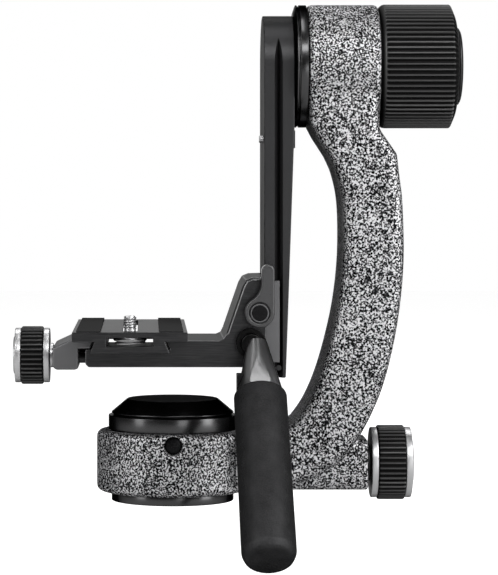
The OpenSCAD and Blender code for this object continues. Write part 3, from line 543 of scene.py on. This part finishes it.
# ---------------------------------------------------------------------------------------------
# Turned bright metal: the rings of the two small knobs, each in one with its core, the screws,
# the tilt axle, the pins, the nut and the bearings. Fine turning marks break up the shine. The
# washer under the lens plate is black, like the plate.
silver = Finish("turned_silver", (0.44, 0.44, 0.445), 0.3, 1.0, Specular_Tint=DARK_RIM)
scratch = silver.noise(2500, 3.0)
tarnish = silver.noise(120, 3.0)
silver.set(Roughness=scratch * 0.16 + tarnish * 0.10 + 0.25)
silver.bump(scratch, 0.00002, 0.5)
dress(silver, "lower_pan_bearing", "upper_pan_bearing", "pan_nut", "left_tilt_bearing",
      "right_tilt_bearing", "tilt_axle", "stop_pin", "lever_stud")
dress(anodised, "screw_washer")

PAN_KNOB = (97.0, 0, 18.3)
piece("pan_knob_body", [turned([(0, -76.7), (4.5, -76.7), (4.5, 0), (17.2, 0), (17.2, 3.2),
      (15.2, 3.2), (15.2, 16.6), (17.2, 16.6), (17.2, 19.8), (15.9, 19.8), (15.5, 19.4),
      (12.6, 19.6), (12.2, 20.6), (0, 20.6)], PAN_KNOB, RIGHT, 0.6)],
      silver, "pan_lock", "silver_aluminium", "pan_knob_core")
CLAMP_KNOB = (-60.3, 0, 70.9)
piece("clamp_knob_body", [turned([(3, -1.9), (6, -1.9), (6, 0), (13.4, 0), (13.4, 3), (11.8, 3),
      (11.8, 14), (13.4, 14), (13.4, 17), (12.2, 17), (11.8, 16.6), (9.4, 16.8), (9.0, 17.8),
      (0, 17.8), (0, 10), (3, 10)], CLAMP_KNOB, LEFT, 0.6)],
      silver, "clamp_knob", "silver_aluminium", "clamp_knob_core")


THREAD_ROWS, THREAD_TURNS = 8, 36  # points along one pitch and round the screw
THREAD_END, END_DEPTH = 0.5, 1.2  # in pitches and in depths of the groove


def threaded(radius, depth, pitch, start, along, length):
    """A screw thread: the radius falls by depth in a triangle wave of the turn angle and the
    distance, and by a little more over the last half pitch. Both ends are closed on the axis."""
    rows = int(length / pitch * THREAD_ROWS) + 2
    d = np.linspace(0, length, rows)[:, None]
    a = np.linspace(0, 1, THREAD_TURNS, endpoint=False)[None, :]
    wave = np.abs(2 * np.mod(d / pitch - a, 1) - 1)
    taper = np.clip(1 - (length - d) / (pitch * THREAD_END), 0, 1)
    r = radius - depth * wave - depth * END_DEPTH * taper
    r = np.concatenate([r[:1] * 0, r, r[-1:] * 0])
    d = np.concatenate([d[:1], d, d[-1:]]) + 0 * a
    return swept_round(r, d, start, along, THREAD_TURNS)


CLAMP_SCREW = (-71.3, 0, CLAMP_KNOB[2])
piece("clamp_screw_thread", [threaded(3.0, 0.5, 1.0, CLAMP_SCREW, RIGHT, 55.1)],
      silver, "clamp_knob", "steel", "clamp_screw", crease=50)


# ---------------------------------------------------------------------------------------------
# Ribbed rubber: the grips of the three knobs, moulded with round ribs and round edges, and the
# two pads on the lens plate. The grips' grooves carry painted shade.
def grip_rubber(name, axis_z, reach, depth):
    """Black rubber with painted shade: its colour darkens from the ribs' tops, at reach from an
    axis along X at height axis_z, to the grooves' bottoms, depth further in; all in mm."""
    made = Finish(name, (0.02, 0.02, 0.02), 0.4, 0.75, Specular_Tint=DARK_RIM,
                  Specular_IOR_Level=0.1)
    flat = made.node("ShaderNodeVectorMath", {"operation": "MULTIPLY_ADD"}, {
        0: made.place, 1: (0, 1, 1), 2: (0, 0, -axis_z * MM)})
    radius = made.node("ShaderNodeVectorMath", {"operation": "LENGTH"}, {0: flat}, out="Value")
    groove_shade = made.node("ShaderNodeMapRange", {}, {"Value": radius, "From Min": (reach - depth) * MM,
                    "From Max": reach * MM})
    dust = made.noise(1800, 3.0)
    # Painted shade: near black at the grooves' bottoms, dark grey on the ribs' tops.
    colour = made.node("ShaderNodeValToRGB", {"ramp": [
        (0.2, (0.006, 0.006, 0.006)), (0.95, (0.052, 0.052, 0.052))]}, {"Fac": groove_shade})
    made.set(**{"Base Color": colour, "Roughness": dust * 0.2 + 0.3})
    made.bump(dust, 0.00005, 0.6)
    return made


RIB_STEPS = 10  # points round the knob for one rib and its groove
RIB_TOP, RIB_FLANK = 0.24, 0.44  # of half a rib's spacing
GROOVED, GROOVE_FADE = 1.6, 0.4  # the grooves reach this far into the outline, and fade over this
PLAIN_FADE = 0.5


def ribbed(outline, start, along, ribs, depth, plain=0.0, ease=0.35):
    """A turned form whose largest radius drops by depth in the grooves between the round ribs:
    a smooth step of the turn angle. The grooves start past the plain rim."""
    loop = eased(outline, ease)
    reach = loop[:, :1].max()
    phase = np.mod(np.arange(ribs * RIB_STEPS) / RIB_STEPS, 1)[None, :]
    groove = np.clip((np.abs(2 * phase - 1) - RIB_TOP) / RIB_FLANK, 0, 1)
    groove = groove ** 2 * (3 - 2 * groove)
    outer = np.clip((loop[:, :1] - reach + GROOVED) / GROOVE_FADE, 0, 1)
    past_rim = np.clip((loop[:, 1:] - plain) / PLAIN_FADE + 1, 0, 1)
    radius = loop[:, :1] - depth * groove * (outer * past_rim)
    return swept_round(radius, loop[:, 1:] + 0 * phase, start, along, ribs * RIB_STEPS)


TILT_GRIP = (100.8, 0, TILT_Z)
TILT_REACH, TILT_RIB = 30.4, 1.4
TILT_PLAIN = 2.6
piece("tilt_knob_rubber", [ribbed([(26.4, 0), (28.6, 0), (30.2, 1.8), (TILT_REACH, 3.2),
      (TILT_REACH, 3.7), (TILT_REACH, 35.0), (25.2, 37.2), (18.9, 38.6), (0, 38.6), (0, 35.4),
      (26.4, 35.4)], TILT_GRIP, RIGHT, 70, TILT_RIB, TILT_PLAIN, 0.6)],
      grip_rubber("tilt_rubber", TILT_Z, TILT_REACH, TILT_RIB), "tilt_lock", "ribbed_rubber",
      "tilt_knob_grip")
SMALL_RIB = 0.95
PAN_GRIP = (100.2, 0, PAN_KNOB[2])
PAN_REACH = 18.2
piece("pan_knob_rubber", [ribbed([(15.2, 0), (17.6, 0), (PAN_REACH, 0.6), (PAN_REACH, 12.8),
      (17.6, 13.4), (15.2, 13.4)], PAN_GRIP, RIGHT, 44, SMALL_RIB)],
      grip_rubber("pan_rubber", PAN_KNOB[2], PAN_REACH, SMALL_RIB), "pan_lock", "ribbed_rubber",
      "pan_knob_grip")
CLAMP_GRIP = (-63.3, 0, CLAMP_KNOB[2])
CLAMP_REACH = 14.2
piece("clamp_knob_rubber", [ribbed([(11.8, 0), (13.6, 0), (CLAMP_REACH, 0.6), (CLAMP_REACH, 10.4),
      (13.6, 11), (11.8, 11)], CLAMP_GRIP, LEFT, 36, SMALL_RIB)],
      grip_rubber("clamp_rubber", CLAMP_KNOB[2], CLAMP_REACH, SMALL_RIB), "clamp_knob",
      "ribbed_rubber", "clamp_knob_grip")
pad_rubber = Finish("pad_rubber", (0.022, 0.022, 0.022), 0.4, 0.0, Specular_IOR_Level=0.0)
pad_rubber.bump(pad_rubber.noise(1400, 2.0), 0.00004, 0.6)
milled("left_pad", pad_rubber, "plate", 0.25)
milled("right_pad", pad_rubber, "plate", 0.25)


# ---------------------------------------------------------------------------------------------
# The brake shoe of the pan lock: a bronze plug between the screw and the spindle.
bronze = Finish("brake_bronze", (0.45, 0.3, 0.12), 0.35, 1.0)
bronze.set(Roughness=bronze.noise(2000, 2.0) * 0.2 + 0.25)
dress(bronze, "brake_shoe")


# ---------------------------------------------------------------------------------------------
# The camera screw: a quarter inch thread on a smooth shank and a flat head under the lens
# plate, with a wire ring that lies folded against the head.
def ring_wire(centre, ring, wire, lift):
    """A round wire bent into a ring: a small circle, radius wire, goes round a large one, radius
    ring, and rises with the cosine of the turn, so that lift raises its side towards +X."""
    a = np.linspace(0, 2 * np.pi, 48, endpoint=False)[:, None]
    b = np.linspace(0, 2 * np.pi, 12, endpoint=False)[None, :]
    reach = ring + wire * np.cos(b)
    x, y = reach * np.cos(a), reach * np.sin(a)
    z = wire * np.sin(b) + lift * np.cos(a)
    return grid((np.array(centre) + np.stack([x, y, z], -1)) * MM)


SCREW_X, SCREW_Y = -20.7, -38.0
THREAD_START, SHANK_TOP = 86.0, 86.2
QUARTER_INCH, QUARTER_INCH_PITCH = 3.175, 1.27  # the thread's radius and pitch
head_z, tip_z = [corner[2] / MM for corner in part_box("camera_screw")]
shank = SHANK_TOP - head_z
piece("camera_screw_thread", [
    threaded(QUARTER_INCH, 0.55, QUARTER_INCH_PITCH, (SCREW_X, SCREW_Y, THREAD_START), UP,
             tip_z - THREAD_START),
    turned([(0, 0), (7.4, 0), (8, 0.5), (8, 1.8), (2.77, 1.8), (2.77, shank), (0, shank)],
           (SCREW_X, SCREW_Y, head_z), UP, 0.3, 96),
    ring_wire((SCREW_X, SCREW_Y, head_z - 0.75), 6.9, 0.55, 0.25)],
    silver, "screw", "steel", "camera_screw", crease=50)


# ---------------------------------------------------------------------------------------------
# Small gloss black parts: the plug in the housing's front, the rosette that carries the handle
# and the lever's button. Lacquered steel. The ring round the button is grey: painted highlight.
lacquer = Finish("black_lacquer", (0.010, 0.010, 0.0105), 0.28, 0.6, Specular_Tint=DULL_RIM,
                 Specular_IOR_Level=0.25)
orange_peel = lacquer.noise(900, 2.0)
lacquer.set(Roughness=orange_peel * 0.14 + 0.2)
lacquer.bump(orange_peel, 0.00003, 0.5)
milled("rosette", lacquer, "bracket", 0.5)
milled("lever_button", lacquer, "height_lever", 0.3)
# Painted highlight: the ring takes the jaws' grey in place of the bright line on its rim.
dress(grey_jaw_and_ring_highlight, "lever_ring")
piece("front_plug", [turned([(0, 0), (4.4, 0), (4.4, 7.8), (3.6, 8.3), (0, 8.6)], (0, -24.8, 29.5),
      (0, -1, 0), 0.4, 64)], lacquer, "arm", "black_anodised", "housing_plug")


# ---------------------------------------------------------------------------------------------
# The lever that frees the bracket: moulded in glass-filled nylon, satin, with soft edges. The
# block behind the handle's neck is lacquered, and the tilt knob's end cap, turned with two
# shallow steps, is anodised.
plastic = Finish("moulded_plastic", (0.027, 0.027, 0.028), 0.36, 0.15, Specular_IOR_Level=0.5)
leather = plastic.noise(3200, 2.0)
plastic.set(Roughness=leather * 0.16 + 0.22)
plastic.bump(leather, 0.00004, 0.6)
milled("lever", plastic, "height_lever", 0.8, rows=3)
milled("neck_block", lacquer, "handle", 0.4)
CROWN = (139.4, 0, TILT_Z)
piece("tilt_knob_crown", [turned([(0, 0), (18.9, 0), (18.9, 0.8), (17.4, 1.6), (13.2, 2.05),
      (12.9, 1.8), (12.4, 1.8), (12.1, 2.15), (0, 2.3)], CROWN, RIGHT, 0.3)],
      anodised, "tilt_lock", "black_plastic", "tilt_knob_cap")


# ---------------------------------------------------------------------------------------------
# The handle: a cast neck, bright satin with a flat at its front and black at its lug, its tube,
# and a dense foam grip whose open cells give it a dull, dark skin.
LUG_FRONT, LUG_FADE = -0.0400, 0.0002  # in metres along Y
neck_metal = Finish("neck_metal", (0.22, 0.22, 0.222), 0.3, 1.0, Specular_Tint=DULL_RIM)
neck_grain = neck_metal.noise(2600, 2.0)
neck_depth = neck_metal.node("ShaderNodeSeparateXYZ", {}, {0: neck_metal.place}, out="Y")
lug_part = neck_metal.node("ShaderNodeMapRange", {}, {
    "Value": neck_depth, "From Min": LUG_FRONT - LUG_FADE, "From Max": LUG_FRONT})
neck_colour = neck_metal.node("ShaderNodeValToRGB", {"ramp": [
    (0.0, (0.22, 0.22, 0.222)), (1.0, (0.008, 0.008, 0.008))]}, {"Fac": lug_part})
neck_metal.set(**{"Base Color": neck_colour, "Roughness": neck_grain * 0.16 + 0.24})
neck_metal.bump(neck_grain, 0.00003, 0.4)
milled("handle_neck", neck_metal, "handle", 0.3, crease=24)
dress(neck_metal, "handle_tube")

foam = Finish("dense_foam", (0.010, 0.010, 0.0105), 0.6, 0.85, Specular_Tint=DULL_RIM,
              Specular_IOR_Level=0.05)
cells = foam.noise(1500, 3.0, 0.6)
smudge = foam.noise(130, 2.0)
foam_colour = foam.node("ShaderNodeValToRGB", {"ramp": [
    (0.25, (0.013, 0.013, 0.0135)), (0.75, (0.040, 0.040, 0.041))]},
    {"Fac": cells * 0.6 + smudge * 0.4})
foam.set(**{"Base Color": foam_colour, "Roughness": cells * 0.2 + 0.46})
foam.bump(cells, 0.00015, 0.8)

GRIP_START = (40.6, -58.284, 55.781)
GRIP_ALONG = (0.01542, -0.67687, -0.73594)
piece("foam_grip", [turned([(8, 0), (10.9, 0), (12.5, 0.9), (12.5, 30), (12.5, 60), (12.5, 89.5),
      (11.2, 92.5), (9.8, 93.3), (0, 93.5), (0, 87), (8, 87)], GRIP_START, GRIP_ALONG, 1.2, 144)],
      foam, "handle", "foam", "handle_grip")
